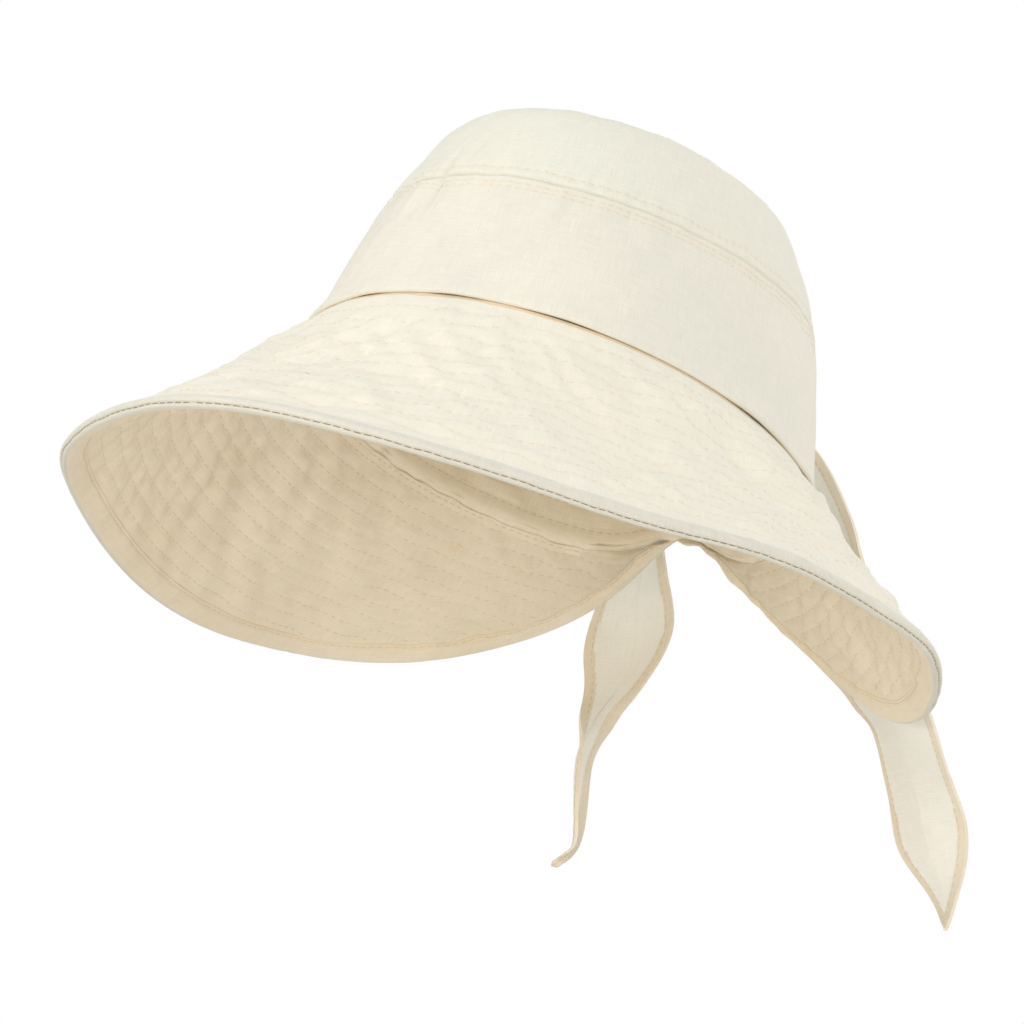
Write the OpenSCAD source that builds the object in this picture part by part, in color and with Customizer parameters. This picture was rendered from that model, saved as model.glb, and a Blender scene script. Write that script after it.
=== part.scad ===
// Fabric sun hat with a wide band, a quilted brim split at the back, and two ties.
// Millimetres. +Z is up along the crown, the front is -Y and the wearer's left is +X.
// The origin is the centre of the head opening, level with the band's lower edge.
// Angles round the head start at the front and grow towards the wearer's left.

/* [Head opening] */
// Width of the opening across the head
opening_w = 164; // [140:1:200]
// Length of the opening, front to back
opening_l = 200; // [170:1:240]

/* [Crown] */
// Height of the crown above the band's lower edge
crown_h = 99; // [80:1:120]
// Height of the band, from its lower edge to the top seam
band_h = 54; // [40:1:66]
// How much the top rises towards the back, in each 100 mm of length
crown_tilt = 12; // [0:1:20]
// How far the top leans forward
crown_lean = 3; // [0:0.5:10]
// How far the wall leans in, before it turns into the top
wall_lean = 17.5; // [5:0.5:30]
// How far in the shoulder turns over
shoulder_in = 30; // [15:1:45]

/* [Brim] */
// Width of the brim at the sides, along its slope
brim_side_w = 87; // [50:1:110]
// Extra width at the front
brim_peak_w = 40; // [0:1:60]
// How far round each way the extra front width reaches, in degrees
brim_peak_reach = 35; // [20:1:50]
// How far round the left side of the back split runs, in degrees
split_left = 39; // [20:1:50]
// How far round the right side of the back split runs, in degrees
split_right = 33; // [20:1:50]
// Width that is left behind the head, at the top of the split
split_lip = 1.5; // [1:0.5:10]
// How far the lower edge rises behind the head, above the split
back_rise = 9; // [0:1:14]
// How far round each way that rise reaches, in degrees
back_rise_reach = 13; // [8:1:20]
// How far the brim hangs below a straight slope at its middle
brim_hollow = 3.5; // [0:0.5:8]
// How much the brim's edge is lifted by its own thickness
brim_edge_rise = 1.2; // [0:0.1:2]

/* [Brim droop, degrees below level] */
// Front
droop_front = 42; // [30:1:60]
// Front left
droop_front_left = 51; // [30:1:60]
// Left
droop_left = 44; // [30:1:60]
// Back left
droop_back_left = 50; // [30:1:60]
// Back
droop_back = 38; // [30:1:60]
// Back right
droop_back_right = 38; // [30:1:60]
// Right
droop_right = 54; // [30:1:60]
// Front right
droop_front_right = 54; // [30:1:60]

/* [Fabric] */
// Thickness of the folded band and of the crown top
band_t = 1.2; // [0.8:0.1:2]
// Thickness of the side wall behind the band
side_t = 0.8; // [0.5:0.1:1.5]
// Thickness of the tape over the top seam
tape_t = 0.5; // [0.3:0.1:1]
// Width of the tape over the top seam
tape_w = 12; // [8:1:16]
// Thickness of the sweatband
sweatband_t = 1.2; // [0.8:0.1:2]
// Height of the sweatband
sweatband_h = 30; // [20:1:36]
// Thickness of the brim's upper cloth
upper_t = 0.9; // [0.5:0.1:1.5]
// Thickness of the stiffener inside the brim
interlining_t = 0.6; // [0.4:0.1:1.5]
// Thickness of the brim's lower cloth
lower_t = 0.9; // [0.5:0.1:1.5]
// Thickness of the binding tape
binding_t = 0.6; // [0.4:0.1:1]
// Width of the binding on the upper face
binding_top_w = 4; // [3:0.5:6]
// Width of the binding on the lower face
binding_under_w = 6; // [5:0.5:9]

/* [Ties] */
// Thickness of a tie's doubled cloth
tie_t = 1.2; // [0.8:0.1:1.6]
// Length of the knot, side to side
knot_l = 26; // [18:1:34]
// Radius of the knot at its middle
knot_r = 10.5; // [8:0.5:14]
// Radius of the knot at its two ends
knot_end_r = 8; // [6:0.5:12]
// Height on the band at which the knot lies
knot_z = 32; // [25:1:40]

/* [Hidden] */

ivory = [0.93, 0.92, 0.86];
cream = [0.96, 0.93, 0.86];
beige = [0.86, 0.80, 0.69];
felt = [0.90, 0.90, 0.88];

// Clearance between the ties and what they lie beside
clearance = 0.3;
// Distance from a tie's hinge line to each of the two cloths that meet there
hinge_clearance = 0.6;
// How far the brim reaches in under the crown's walls
collar = band_t + side_t + sweatband_t;

// Steps round the crown and round the brim
crown_steps = 48;
brim_steps = 72;
// Share of the profile at which the crown's thickness stops being measured level
foot_share = 0.1;
// Share of the profile above which the rise behind the head is no longer felt
foot_blend = 0.12;
// Where the crown top's last ring is, as a share of the profile
top_ring = 0.97;

half_w = opening_w / 2;
half_l = opening_l / 2;

// ---- general helpers ----

function unit(v) = v / norm(v);
function mix(a, b, t) = a * (1 - t) + b * t;
function steps(n) = [for (i = [0 : n - 1]) i];

// Smooth curve through four neighbouring values, between the middle two
function through(a, b, c, d, t) =
    0.5 * (2 * b + (c - a) * t + (2 * a - 5 * b + 4 * c - d) * t * t
           + (3 * b - a - 3 * c + d) * t * t * t);

// Point at step t of a smooth curve through a list of points
function along(points, t) =
    let (last = len(points) - 1, i = min(floor(t), last - 1))
    through(points[max(i - 1, 0)], points[i], points[i + 1],
            points[min(i + 2, last)], t - i);

// Triangles between two rings of n points that start at a and b.
// From point "turned" on, the squares are cut along their other diagonal.
function band_faces(a, b, n, turned) =
    [for (i = steps(n), half = [0, 1])
        let (j = (i + 1) % n)
        i < turned ? (half == 0 ? [a + i, b + j, a + j] : [a + i, b + i, b + j])
        : (half == 0 ? [a + i, b + i, a + j] : [b + i, b + j, a + j])];

// A closed ring-shaped solid whose cross-section is a closed list of points. Faces that
// another layer lies on are cut into triangles alike on both, so that they lie face to
// face: a shell's two walls are the two halves of its section, unless "turned" says more.
module swept_ring(sections, turned = undef) {
    n = len(sections[0]);
    m = len(sections);
    cut = is_undef(turned) ? n / 2 : turned;
    faces = [for (i = steps(m)) each band_faces(i * n, ((i + 1) % m) * n, n, cut)];
    polyhedron([for (section = sections) each section], faces, convexity = 8);
}

// Cross-section of a shell between an outer and an inner list of points
function shell_section(outer, inner) =
    concat(outer, [for (i = [len(inner) - 1 : -1 : 0]) inner[i]]);

// ---- crown ----

// The profile is a Bezier curve: how far in from the band's lower edge, and how high
function bezier(a, b, c, d, u) =
    a * pow(1 - u, 3) + 3 * b * u * pow(1 - u, 2) + 3 * c * u * u * (1 - u) + d * pow(u, 3);
function bezier_slope(a, b, c, d, u) =
    3 * ((b - a) * pow(1 - u, 2) + 2 * (c - b) * u * (1 - u) + (d - c) * u * u);
wall_handle = 0.9;
function profile_in(u) = bezier(0, wall_lean, shoulder_in, half_w, u);
function profile_z(u) = bezier(0, crown_h * wall_handle, crown_h, crown_h, u);
function profile_tilt(u) =
    atan2(bezier_slope(0, wall_lean, shoulder_in, half_w, u),
          bezier_slope(0, crown_h * wall_handle, crown_h, crown_h, u));

// Share of the profile at which it reaches a height
function share_at(z, low = 0, high = 1, tries = 24) =
    let (mid = (low + high) / 2)
    tries == 0 ? mid
    : profile_z(mid) < z ? share_at(z, mid, high, tries - 1)
    : share_at(z, low, mid, tries - 1);

// Tilts and leans the crown. The lower edge stays where it is.
function settle(p) =
    let (rise = p.z / crown_h)
    [p.x, p.y - crown_lean * rise * rise, p.z + crown_tilt * rise * p.y / 100];

// Height of the lower edge, which rises behind the head
function turn(angle) = angle - 360 * floor(angle / 360);
function from_back(angle) = abs(180 - turn(angle));
function foot_z(angle) = back_rise * exp(-pow(from_back(angle) / back_rise_reach, 2));

// Point of the crown at an angle, a share of the profile and a depth below its face.
// The rows below the first height that is given in full stand on the lower edge.
function crown_point(angle, share, depth) =
    let (u = share > foot_blend ? share
             : mix(share_at(foot_z(angle)), foot_blend, share / foot_blend),
         inward = profile_in(u),
         w = half_w - inward,
         l = half_l - inward - (half_l - half_w) * pow(inward / half_w, 4),
         out = unit([sin(angle) / w, -cos(angle) / l, 0]),
         tilt = profile_tilt(u) * min(1, share / foot_share))
    settle([w * sin(angle), -l * cos(angle), profile_z(u)]
           - depth * (out * cos(tilt) + [0, 0, sin(tilt)]));

// Shares of the profile at a list of heights
function shares(heights) = [for (z = heights) share_at(z)];

// A shell of the crown between two depths
module crown_shell(shares_up, shallow, deep) {
    swept_ring([for (i = steps(crown_steps))
        let (angle = -i * 360 / crown_steps)
        shell_section([for (u = shares_up) crown_point(angle, u, shallow)],
                      [for (u = shares_up) crown_point(angle, u, deep)])]);
}

seam_share = share_at(band_h);
tape_low = band_h - tape_w / 2;
tape_high = band_h + tape_w / 2;
band_rows = shares([0, sweatband_h / 2, sweatband_h, tape_low]);
wall_rows = concat(band_rows, seam_share);
back_depth = band_t + side_t;

module crown_band() color(ivory) crown_shell(wall_rows, 0, band_t);

module crown_side() color(cream)
    crown_shell(concat(wall_rows, share_at(tape_high)), band_t, back_depth);

module seam_tape() color(felt)
    crown_shell([share_at(tape_low), seam_share, share_at(tape_high)],
                back_depth, back_depth + tape_t);

module sweatband() color(beige)
    crown_shell(shares([0, sweatband_h / 2, sweatband_h]),
                back_depth, back_depth + sweatband_t);

// The top closes over the head: rings up to the last one, then a fan to the middle
module crown_top() color(ivory) {
    first = share_at(tape_high);
    rows = concat([seam_share], [for (i = [0 : 8]) mix(first, top_ring, i / 8)]);
    n = crown_steps;
    m = len(rows);
    rings = [for (depth = [0, band_t], u = rows)
        [for (i = steps(n)) crown_point(i * 360 / n, u, depth)]];
    tip = settle([0, 0, crown_h]);
    outer_tip = 2 * m * n;
    points = concat([for (ring = rings) each ring], [tip, tip - [0, 0, band_t]]);
    outer = [for (k = steps(m - 1)) each band_faces((k + 1) * n, k * n, n, n)];
    inner = [for (k = steps(m - 1)) each band_faces((m + k) * n, (m + k + 1) * n, n, 0)];
    rim = band_faces(0, m * n, n, n);
    caps = [for (i = steps(n))
        let (j = (i + 1) % n, a = (m - 1) * n, b = (2 * m - 1) * n)
        each [[a + j, a + i, outer_tip], [b + i, b + j, outer_tip + 1]]];
    polyhedron(points, concat(outer, inner, rim, caps), convexity = 8);
}

// ---- brim ----

// Droop at each eighth of the way round, from the front towards the left
droops = [droop_front, droop_front_left, droop_left, droop_back_left,
          droop_back, droop_back_right, droop_right, droop_front_right];

function droop(angle) =
    let (t = turn(angle) / 45, i = floor(t))
    through(droops[(i + 7) % 8], droops[i % 8], droops[(i + 1) % 8],
            droops[(i + 2) % 8], t - i);

// Sharpness of the front widening and of the split's sides
peak_power = 1.9;
split_power = 2;

// Width of the brim along its slope
function brim_w(angle) =
    let (from_front = 180 - from_back(angle),
         reach = turn(angle) < 180 ? split_left : split_right,
         full = brim_side_w + brim_peak_w * exp(-pow(from_front / brim_peak_reach, peak_power)))
    split_lip + (full - split_lip) * (1 - exp(-pow(from_back(angle) / reach, split_power)));

// Point of the brim at a distance out along its slope and a depth below its upper face
function brim_point(angle, s, depth) =
    let (w = brim_w(angle), t = max(0, s / w), fall = droop(angle),
         out = unit([sin(angle) / half_w, -cos(angle) / half_l, 0]),
         foot = crown_point(angle, 0, 0),
         slope = s < 0 ? out : out * cos(fall) - [0, 0, sin(fall)],
         face = s < 0 ? [0, 0, 1]
              : s == 0 ? unit([0, 0, 1] + unit(out * sin(fall) + [0, 0, cos(fall)]))
              : out * sin(fall) + [0, 0, cos(fall)],
         hang = 4 * brim_hollow * pow(w / brim_side_w, 2) * t * (1 - t))
    foot + slope * s + face * (brim_edge_rise * t - hang - depth);

// Distances out along the slope at which the brim has a row of points
function rows_out(angle) =
    let (w = brim_w(angle),
         under = min(binding_under_w, 0.7 * w),
         top = min(binding_top_w, 0.5 * w))
    concat([-collar, 0], [for (i = [1 : 6]) (w - under) * i / 6], [w - top, w]);

module brim_layer(shallow, deep) {
    swept_ring([for (i = steps(brim_steps))
        let (angle = -i * 360 / brim_steps, rows = rows_out(angle))
        shell_section([for (s = rows) brim_point(angle, s, shallow)],
                      [for (s = rows) brim_point(angle, s, deep)])]);
}

brim_t = upper_t + interlining_t + lower_t;

module brim_upper() color(cream) brim_layer(0, upper_t);

module brim_interlining() color(felt) brim_layer(upper_t, upper_t + interlining_t);

module brim_lower() color(beige) brim_layer(upper_t + interlining_t, brim_t);

// The binding folds round the edge, so its section is a U laid on its side. The faces up to
// the seventh point are cut like the brim's lower face, and the rest like its edge and top.
binding_turned = 7;
module brim_binding() color(ivory) {
    swept_ring(turned = binding_turned, sections = [for (i = steps(brim_steps))
        let (angle = -i * 360 / brim_steps, w = brim_w(angle), rows = rows_out(angle),
             top = rows[len(rows) - 2], under = rows[len(rows) - 3])
        [brim_point(angle, top, -binding_t), brim_point(angle, w + binding_t, -binding_t),
         brim_point(angle, w + binding_t, brim_t + binding_t),
         brim_point(angle, top, brim_t + binding_t),
         brim_point(angle, under, brim_t + binding_t), brim_point(angle, under, brim_t),
         brim_point(angle, top, brim_t),
         brim_point(angle, w, brim_t), brim_point(angle, w, 0), brim_point(angle, top, 0)]]);
}

// ---- ties ----

// The knot lies against the band, and its centre is out from the band's face
knot_at = crown_point(180, share_at(knot_z), -knot_r - clearance);

module tie_knot() color(ivory)
    translate(knot_at) rotate([0, 90, 0]) rotate_extrude($fn = 48)
        intersection() {
            translate([0, -knot_l / 2]) square([knot_r, knot_l]);
            scale_r = (knot_l * knot_l / 4 + pow(knot_r - knot_end_r, 2))
                      / (2 * (knot_r - knot_end_r));
            translate([knot_r - scale_r, 0]) circle(r = scale_r, $fn = 360);
        }

// Each tie is given by its outer and inner edge, as points from the knot to the tip.
// The first lies beside the knot's end, and the rest are places above the brim or below it.
knot_side = knot_l / 2 + clearance + tie_t / 2;
tie_root_h = 22;
function beside_knot(side, up) = knot_at + [side * knot_side, 1, up * tie_root_h / 2];

// The places are given for an opening of this size, and they spread as the opening does
drawn_w = 164;
drawn_l = 200;
function spread(points) =
    [for (p = points) [p.x * opening_w / drawn_w, p.y * opening_l / drawn_l, p.z]];

left_hinge = spread([[116, 90, -60], [79, 117, -48]]);
left_outer = concat([beside_knot(1, 1)],
    spread([[36, 101, 47], [61, 92, 19], [77, 89, -4], [98, 90, -34]]), [left_hinge[0]]);
left_inner = concat([beside_knot(1, -1)],
    spread([[25, 108, -1], [42, 114, -18], [57, 117, -31], [68, 118, -40]]), [left_hinge[1]]);
left_tail_outer = concat([left_hinge[0]],
    spread([[128, 87, -77], [134, 88, -91], [136, 92, -106], [132, 97, -120]]));
left_tail_inner = concat([left_hinge[1]],
    spread([[94, 111, -71], [106, 105, -92], [118, 101, -108], [129, 98, -120]]));

right_hinge = spread([[-39, 118, -13], [-13, 115, 1]]);
right_outer = concat([beside_knot(-1, 1)], spread([[-26, 110, 38], [-35, 115, 14]]),
    [right_hinge[0]]);
right_inner = concat([beside_knot(-1, -1)], spread([[-18, 109, 15], [-16, 112, 8]]),
    [right_hinge[1]]);
right_tail_outer = concat([right_hinge[0]],
    spread([[-38, 118, -30], [-33, 115, -44], [-27, 110, -58], [-21, 106, -73],
            [-18, 108, -89], [-19, 112, -102], [-24, 114, -108]]));
right_tail_inner = concat([right_hinge[1]],
    spread([[-7, 118, -18], [-9, 119, -39], [-18, 121, -54], [-23, 122, -67],
            [-21, 119, -86], [-19, 115, -101], [-23, 114, -109]]));

// Moves the first or last point of an edge away from the hinge line that it meets
function eased(points, at_end) =
    let (n = len(points), a = at_end ? n - 1 : 0, b = at_end ? n - 2 : 1)
    [for (i = steps(n))
        i == a ? points[a] + hinge_clearance * unit(points[b] - points[a]) : points[i]];

// A sheet of cloth between two edges, with straight lines from one edge to the other
tie_rows_per_point = 4;
tie_columns = 3;
module tie_sheet(outer, inner) {
    rows = (len(outer) - 1) * tie_rows_per_point;
    middle = [for (i = [0 : rows])
        let (t = i / tie_rows_per_point, a = along(outer, t), b = along(inner, t))
        [for (k = [0 : tie_columns]) mix(a, b, k / tie_columns)]];
    faced = [for (i = [0 : rows]) [for (k = [0 : tie_columns])
        let (i0 = max(i - 1, 0), i1 = min(i + 1, rows))
        unit(cross(middle[i][tie_columns] - middle[i][0], middle[i1][k] - middle[i0][k]))]];
    sections = [for (i = [0 : rows])
        shell_section([for (k = [0 : tie_columns]) middle[i][k] + faced[i][k] * tie_t / 2],
                      [for (k = [0 : tie_columns]) middle[i][k] - faced[i][k] * tie_t / 2])];
    n = len(sections[0]);
    sides = [for (i = steps(rows)) each band_faces(i * n, (i + 1) * n, n, n)];
    function cap(first, flip) = [for (k = steps(tie_columns), half = [0, 1])
        let (a = first + k, b = first + n - 1 - k,
             face = half == 0 ? [a, b, a + 1] : [a + 1, b, b - 1])
        flip ? [face[0], face[2], face[1]] : face];
    polyhedron([for (section = sections) each section],
               concat(sides, cap(0, true), cap(rows * n, false)), convexity = 6);
}

module left_tie_upper() color(ivory) tie_sheet(eased(left_outer, true), eased(left_inner, true));

module left_tie_tail() color(ivory)
    tie_sheet(eased(left_tail_outer, false), eased(left_tail_inner, false));

module right_tie_upper() color(ivory) tie_sheet(eased(right_outer, true), eased(right_inner, true));

module right_tie_tail() color(ivory)
    tie_sheet(eased(right_tail_outer, false), eased(right_tail_inner, false));

crown_top();
crown_side();
crown_band();
seam_tape();
sweatband();
brim_upper();
brim_interlining();
brim_lower();
brim_binding();
tie_knot();
left_tie_upper();
left_tie_tail();
right_tie_upper();
right_tie_tail();
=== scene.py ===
# %% [markdown]
# # A fabric sun hat
# The hat is sewn from flat cuts of one plain woven cotton: a rounded crown top, a wide band, and a
# brim of two cloths with a stiffener between them, quilted in rows and bound along its edge. Two
# ties leave a knot at the back. Everything here is cloth, so each piece starts as a flat grid, the
# way that cloth is cut flat, and is then laid on the hat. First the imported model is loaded, because
# every place comes from its frame.

# %% Load the frame
import math

import bpy
import numpy as np
from mathutils import Matrix, Vector


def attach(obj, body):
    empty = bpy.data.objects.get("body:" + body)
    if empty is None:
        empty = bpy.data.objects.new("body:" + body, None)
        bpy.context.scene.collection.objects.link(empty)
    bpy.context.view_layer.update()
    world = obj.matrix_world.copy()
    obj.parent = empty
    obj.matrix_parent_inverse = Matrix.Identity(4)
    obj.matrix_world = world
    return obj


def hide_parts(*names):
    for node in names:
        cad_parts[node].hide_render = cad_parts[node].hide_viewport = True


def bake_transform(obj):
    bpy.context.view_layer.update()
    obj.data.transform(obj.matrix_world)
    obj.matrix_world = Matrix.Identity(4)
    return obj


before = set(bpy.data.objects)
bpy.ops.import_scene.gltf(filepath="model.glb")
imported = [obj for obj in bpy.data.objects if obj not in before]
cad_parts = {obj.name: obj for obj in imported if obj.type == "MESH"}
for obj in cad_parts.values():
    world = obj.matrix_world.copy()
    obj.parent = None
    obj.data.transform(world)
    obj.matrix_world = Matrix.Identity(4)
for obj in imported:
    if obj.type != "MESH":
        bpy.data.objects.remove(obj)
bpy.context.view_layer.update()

# %% [markdown]
# ## Sizes
# A pattern maker writes sizes in millimetres, so they stay in millimetres here, and a mesh is made
# in metres when its points are set. These are the CAD model's sizes, so each cloth lies close to
# its CAD solid. Worn cloth also settles, so further down a few places move from them by some
# millimetres. Angles round the head are in degrees, from the front towards the wearer's left.

# %% The hat's sizes
MM = 0.001
HALF_W = 82.0  # half of the head opening's oval, at the band's face
HALF_L = 100.0
CROWN_H = 99.0
BAND_H = 54.0
CROWN_TILT = 0.12  # rise of the top for each millimetre towards the back
CROWN_LEAN = 3.0  # how far forward the tip leans
WALL_LEAN = 17.5  # the crown's profile: how far in its wall and its shoulder stand
SHOULDER_IN = 30.0
WALL_HANDLE = 0.9
TIP_OVAL = 4  # how late towards the tip the oval becomes round
TIP_R = 0.001
FOOT_SHARE = 0.1  # shares of the profile, where the wall starts to lean and the foot's rise ends
FOOT_BLEND = 0.12
BACK_RISE = 9.0  # rise of the band's lower edge above the split
BACK_RISE_REACH = 13.0

BRIM_SIDE_W = 87.0
BRIM_PEAK_W = 40.0  # how much wider the brim is at the front
BRIM_PEAK_REACH = 35.0
PEAK_POWER = 1.9
SPLIT_LEFT = 39.0  # how far round from the back the split reaches, in degrees
SPLIT_RIGHT = 33.0
SPLIT_LIP = 1.5  # the width that is left in the split
BRIM_HOLLOW = 3.5
BRIM_EDGE_RISE = 1.2
BRIM_T = 2.4
COLLAR = 3.2  # how far the brim goes in under the crown
DROOPS = np.array([42.0, 51.0, 44.0, 50.0, 38.0, 38.0, 54.0, 54.0])  # from the front, at equal angles

BACK_DEPTH = 2.0  # depth of the crown's inner face
TAPE_W = 12.0
SWEATBAND_H = 30.0
TIE_T = 1.2
print("opening", 2 * HALF_W, "by", 2 * HALF_L, "mm, crown", CROWN_H, "mm high")

# %% [markdown]
# ## The two surfaces that carry the cloth
# The crown and the brim could be sculpted, but a sewn hat follows simple curves, so two functions
# give every point: one takes an angle, a share of the way up the crown's profile and a depth below
# its face, and the other takes an angle, a distance out along the brim and a depth. Each cloth is
# then one of these surfaces at its own depth, which keeps the layers apart.

# %% Small helpers for points
def unit(v):
    return v / np.linalg.norm(v, axis=-1, keepdims=True)


def point(x, y, z):
    return np.stack(np.broadcast_arrays(x, y, z), axis=-1).astype(float)


def smooth(t):
    t = np.clip(t, 0, 1)
    return t * t * (3 - 2 * t)


def through(a, b, c, d, t):
    """A smooth curve through four neighbouring values, between the middle two."""
    return 0.5 * (2 * b + (c - a) * t + (2 * a - 5 * b + 4 * c - d) * t * t
                  + (3 * b - a - 3 * c + d) * t ** 3)


def along(points, t):
    """The point at step t of a smooth curve through a list of points."""
    points = np.asarray(points, float)
    last = len(points) - 1
    i = np.clip(np.floor(t).astype(int), 0, last - 1)
    part = (t - i)[..., None]
    return through(points[np.maximum(i - 1, 0)], points[i], points[i + 1],
                   points[np.minimum(i + 2, last)], part)


def bump(distance, width):
    """1 at no distance, falling off to 0 over about twice the width."""
    return np.exp(-(distance / width) ** 2)


# %% The crown's surface
def bezier(a, b, c, d, u):
    return a * (1 - u) ** 3 + 3 * b * u * (1 - u) ** 2 + 3 * c * u * u * (1 - u) + d * u ** 3


def bezier_slope(a, b, c, d, u):
    return 3 * ((b - a) * (1 - u) ** 2 + 2 * (c - b) * u * (1 - u) + (d - c) * u * u)


IN_CURVE = (0, WALL_LEAN, SHOULDER_IN, HALF_W)
UP_CURVE = (0, CROWN_H * WALL_HANDLE, CROWN_H, CROWN_H)
PROFILE_STEPS = np.linspace(0, 1, 4001)
PROFILE_HEIGHTS = bezier(*UP_CURVE, PROFILE_STEPS)


def share_at(height):
    return np.interp(height, PROFILE_HEIGHTS, PROFILE_STEPS)


def turn(angle):
    return np.mod(angle, 360.0)


def from_back(angle):
    return np.abs(180 - turn(angle))


def foot_z(angle):
    return BACK_RISE * bump(from_back(angle), BACK_RISE_REACH)


def crown_point(angle, share, depth):
    a = np.radians(angle)
    foot = share_at(foot_z(angle))
    low = foot + (FOOT_BLEND - foot) * share / FOOT_BLEND
    u = np.where(share > FOOT_BLEND, share, low)
    inward = bezier(*IN_CURVE, u)
    w = np.maximum(HALF_W - inward, TIP_R)
    l = np.maximum(HALF_L - inward - (HALF_L - HALF_W) * (inward / HALF_W) ** TIP_OVAL, TIP_R)
    out = unit(point(np.sin(a) / w, -np.cos(a) / l, 0))
    tilt = np.arctan2(bezier_slope(*IN_CURVE, u), bezier_slope(*UP_CURVE, u))
    tilt = (tilt * np.minimum(1, share / FOOT_SHARE))[..., None]
    p = point(w * np.sin(a), -l * np.cos(a), bezier(*UP_CURVE, u))
    p = p - np.asarray(depth)[..., None] * (out * np.cos(tilt) + point(0, 0, 1) * np.sin(tilt))
    rise = p[..., 2] / CROWN_H
    return p + point(0, -CROWN_LEAN * rise * rise, CROWN_TILT * rise * p[..., 1])


print("crown tip at", np.round(crown_point(np.array(0.0), np.array(1.0), np.array(0.0)), 1))

# %% Where the brim has settled
# Each place is an angle, how far it reaches to both sides, and by how much the value is less there.
LESS_DROOP = (243, 18, 1.7)
NARROW_LEFT = (108, 18, 3.2)
NARROW_RIGHT = (213, 14, 4.3)
LESS_HOLLOW = (306, 34, 1.5)


def settled(angle, place):
    middle, reach, amount = place
    return amount * bump(turn(angle) - middle, reach)


print("the brim is up to", NARROW_RIGHT[2], "mm narrower where it has settled")

# %% The brim's surface
FACE_TURN = 3.0  # how far out the brim's face turns from level to its slope, and where it starts
FACE_START = 0.3
EDGE_WAVES = [(1.0, 7, 0.6), (0.6, 11, 2.0)]  # height, number round the head, phase
EDGE_WAVE = 0.8
STILL_BACK = 60
STILL_FADE = 40


def droop(angle):
    t = turn(angle) / (360 / len(DROOPS))
    i = np.floor(t).astype(int)
    four = [DROOPS[(i + k) % len(DROOPS)] for k in (-1, 0, 1, 2)]
    return through(*four, t - i) - settled(angle, LESS_DROOP)


def full_brim_w(angle):
    """The brim's width if it weren't split at the back."""
    from_front = 180 - from_back(angle)
    return BRIM_SIDE_W + BRIM_PEAK_W * np.exp(-(from_front / BRIM_PEAK_REACH) ** PEAK_POWER)


def brim_w(angle):
    reach = np.where(turn(angle) < 180, SPLIT_LEFT, SPLIT_RIGHT)
    width = SPLIT_LIP + (full_brim_w(angle) - SPLIT_LIP) * (1 - bump(from_back(angle), reach))
    return width - settled(angle, NARROW_LEFT) - settled(angle, NARROW_RIGHT)


def edge_wave(angle):
    """Slow waves of the brim's edge, in millimetres. Under the ties the brim lies still."""
    a = np.radians(angle)
    waves = sum(high * np.sin(number * a + phase) for high, number, phase in EDGE_WAVES)
    return EDGE_WAVE * waves * smooth((from_back(angle) - STILL_BACK) / STILL_FADE)


def brim_point(angle, s, depth):
    a = np.radians(angle)
    w = brim_w(angle)
    t = np.maximum(0, s / w)
    fall = np.radians(droop(angle))[..., None]
    up = point(0, 0, 1)
    out = unit(point(np.sin(a) / HALF_W, -np.cos(a) / HALF_L, 0))
    slope = np.where((s < 0)[..., None], out, out * np.cos(fall) - up * np.sin(fall))
    turned = smooth(s / FACE_TURN + FACE_START)[..., None]
    face = unit(up * (1 - turned) + (out * np.sin(fall) + up * np.cos(fall)) * turned)
    hang = 4 * BRIM_HOLLOW * (w / BRIM_SIDE_W) ** 2 * t * (1 - t) * (1 - settled(angle, LESS_HOLLOW))
    lift = BRIM_EDGE_RISE * t - hang - depth + edge_wave(angle) * t ** 3
    foot = crown_point(angle, np.zeros_like(w), np.zeros_like(w))
    return foot + slope * s[..., None] + face * lift[..., None]


print("the brim is", round(float(brim_w(np.array(90.0))), 1), "mm wide at the side and",
      round(float(brim_w(np.array(0.0))), 1), "mm at the front")

# %% [markdown]
# ## Cloth that has been worn
# Washed cotton is never quite smooth: it has broad soft dents, slanting creases and small puckers
# where thread pulls it in. A noise texture could only fake them in the shading, so real folds go
# into the mesh. Random numbers are blurred more along one direction than across it, which gives
# creases of any length, width and slant. Each set has its own seed, so the hat comes out the same
# each time.

# %% Crumples and folds
FIELD_ROUND = 720
FIELD_UP = 256
BRIM_GIRTH = 760.0
CROWN_GIRTH = 520
FIELD_H = 260.0


def crumple(seed, length, width, slant, round_mm=BRIM_GIRTH, up_mm=FIELD_H):
    """A function of angle and height that gives creases of a length, width and slant, about 1 high."""
    noise = np.random.default_rng(seed).standard_normal((FIELD_UP, FIELD_ROUND))
    f_round = np.fft.fftfreq(FIELD_ROUND, round_mm / FIELD_ROUND)[None, :]
    f_up = np.fft.fftfreq(FIELD_UP, up_mm / FIELD_UP)[:, None]
    c, s = math.cos(math.radians(slant)), math.sin(math.radians(slant))
    lengthwise = f_round * c + f_up * s
    crosswise = f_up * c - f_round * s
    blur = np.exp(-2 * math.pi ** 2 * ((length * lengthwise) ** 2 + (width * crosswise) ** 2))
    field = np.fft.ifft2(np.fft.fft2(noise) * blur).real
    field /= field.std()

    def read(angle, height):
        x = turn(angle) / 360 * FIELD_ROUND
        y = np.mod(np.asarray(height, float) / up_mm, 1) * FIELD_UP
        x0, y0 = np.floor(x).astype(int), np.floor(y).astype(int)
        x1, y1 = (x0 + 1) % FIELD_ROUND, (y0 + 1) % FIELD_UP
        x0, y0, fx, fy = x0 % FIELD_ROUND, y0 % FIELD_UP, x - x0, y - y0
        low = field[y0, x0] * (1 - fx) + field[y0, x1] * fx
        high = field[y1, x0] * (1 - fx) + field[y1, x1] * fx
        return low * (1 - fy) + high * fy

    return read


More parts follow.
